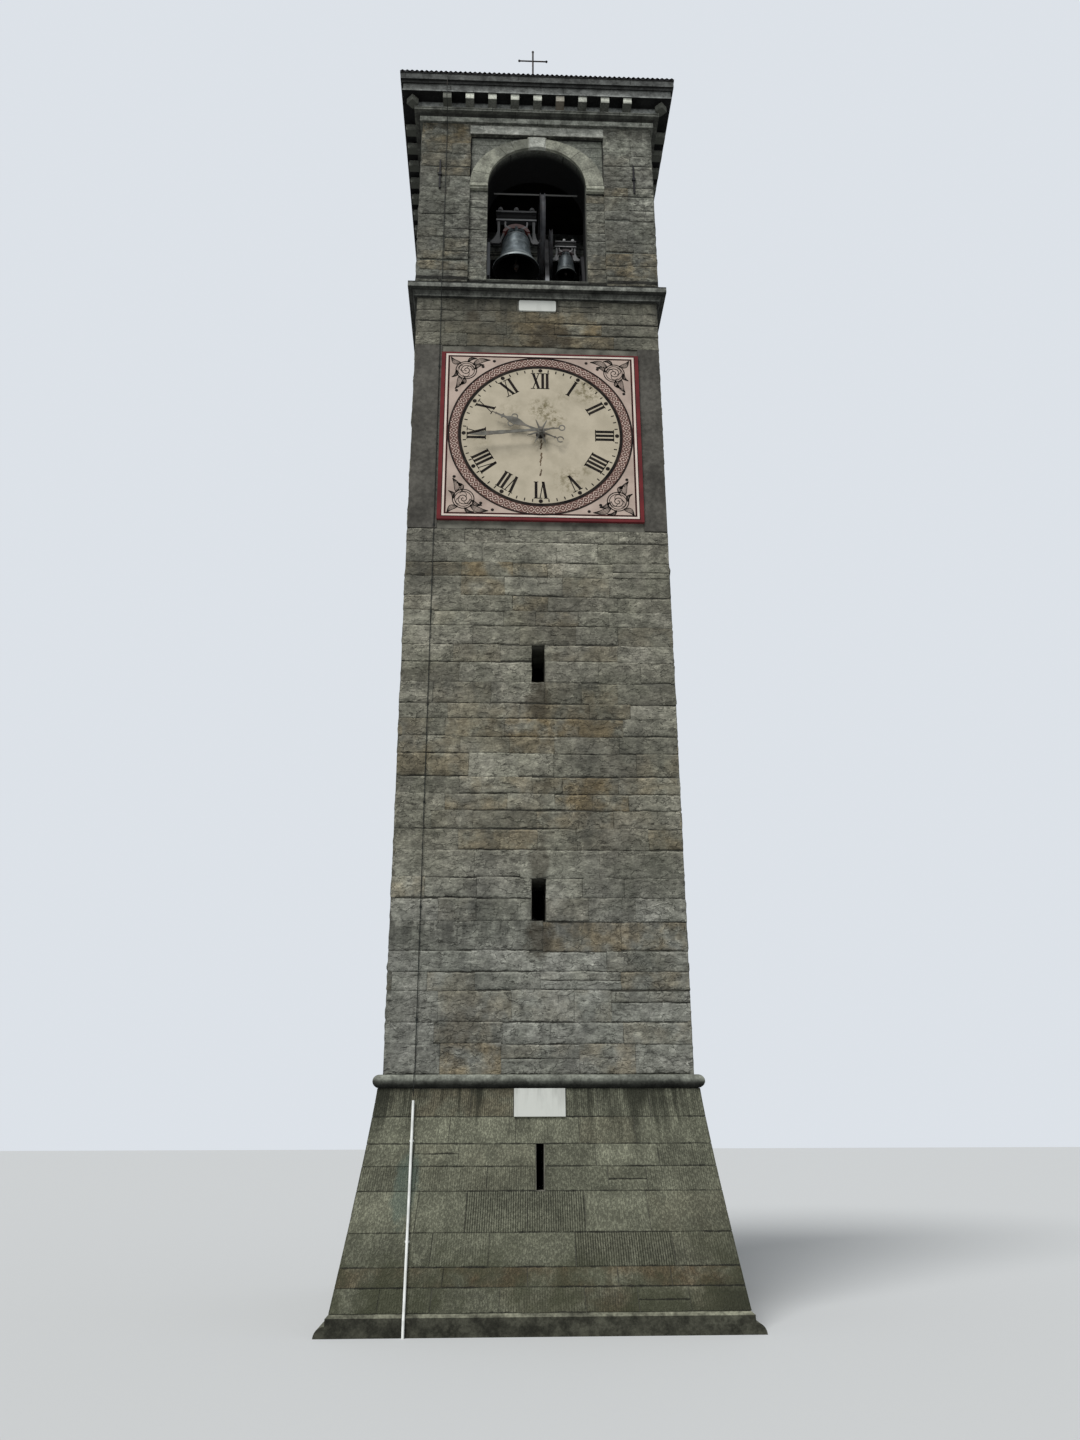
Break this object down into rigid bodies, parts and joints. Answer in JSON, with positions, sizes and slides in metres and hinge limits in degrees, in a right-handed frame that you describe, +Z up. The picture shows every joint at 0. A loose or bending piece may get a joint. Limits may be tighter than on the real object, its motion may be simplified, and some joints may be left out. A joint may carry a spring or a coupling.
{
  "type": "bell tower",
  "caption": "Square stone bell tower with battered base, slit windows, dial clock with turning hands, arched belfry with two swinging bells and a low roof.",
  "frame": {"origin": "on the ground, at the middle of the square plan", "axes": "+Z up, -Y out of the clock's face, +X to the right as one faces the clock"},
  "size_m": [5.37, 5.152, 23.9852],
  "materials": {
    "wall_stone": "rough",
    "base_stone": "tooled",
    "dressed_stone": "dressed, weathered",
    "pale_stone": "dressed",
    "marble": "honed",
    "painted_plaster": "painted, weathered",
    "render": "trowelled",
    "roof_wood": "weathered",
    "roof_sheet": "matt",
    "iron": "rusted",
    "frame_iron": "painted, dull",
    "yoke_iron": "painted, worn",
    "wheel_iron": "painted, worn",
    "hand_metal": "dull grey",
    "conductor": "dull",
    "white_plastic": "satin",
    "bronze": "green-grey patina"
  },
  "bodies": {
    "tower": {"plinth": "dressed_stone", "base_wall_front": "base_stone", "base_wall_right": "base_stone", "base_wall_back": "base_stone", "base_wall_left": "base_stone", "torus_course": "dressed_stone", "shaft_wall_front": "wall_stone", "shaft_wall_right": "wall_stone", "shaft_wall_back": "wall_stone", "shaft_wall_left": "wall_stone", "belfry_cornice": "dressed_stone", "belfry_floor": "dressed_stone", "belfry_pier_front_left": "wall_stone", "belfry_pier_front_right": "wall_stone", "belfry_pier_back_right": "wall_stone", "belfry_pier_back_left": "wall_stone", "belfry_head_front": "wall_stone", "belfry_head_right": "wall_stone", "belfry_head_back": "wall_stone", "belfry_head_left": "wall_stone", "arch_rings": "pale_stone", "architrave": "dressed_stone", "modillions": "dressed_stone", "main_cornice": "dressed_stone", "roof_deck": "roof_wood", "roof_sheets": "roof_sheet", "roof_cross": "iron", "render_strips": "render", "clock_panel": "painted_plaster", "arbor_boss": "iron", "marble_plaques": "marble", "iron_ties": "iron", "lightning_conductor": "conductor", "guard_pipe": "white_plastic", "bell_frame": "frame_iron"},
    "big_bell_set": {"big_bell": "bronze", "big_bell_yoke": "yoke_iron", "big_bell_wheel": "wheel_iron", "big_bell_clapper": "iron"},
    "small_bell_set": {"small_bell": "bronze", "small_bell_yoke": "yoke_iron", "small_bell_wheel": "wheel_iron", "small_bell_clapper": "iron"},
    "minute_hand_body": {"minute_hand": "hand_metal"},
    "hour_hand_body": {"hour_hand": "hand_metal"}
  },
  "joints": [
    {"name": "big_bell_swing", "type": "hinge", "parent": "tower", "child": "big_bell_set", "pos_m": [-0.352, -1.1, 17.71], "axis": [1, 0, 0], "range_deg": [-150, 150]},
    {"name": "small_bell_swing", "type": "hinge", "parent": "tower", "child": "small_bell_set", "pos_m": [0.565, -1.1, 17.34], "axis": [1, 0, 0], "range_deg": [-150, 150]},
    {"name": "minute_hand_turn", "type": "hinge", "parent": "tower", "child": "minute_hand_body", "pos_m": [0.045, -2.1, 12.85], "axis": [0, 1, 0], "continuous": true},
    {"name": "hour_hand_turn", "type": "hinge", "parent": "tower", "child": "hour_hand_body", "pos_m": [0.045, -2.1, 12.85], "axis": [0, 1, 0], "continuous": true}
  ],
  "couplings": [
    {"joint": "hour_hand_turn", "follows": "minute_hand_turn", "ratio": 0.083333}
  ]
}
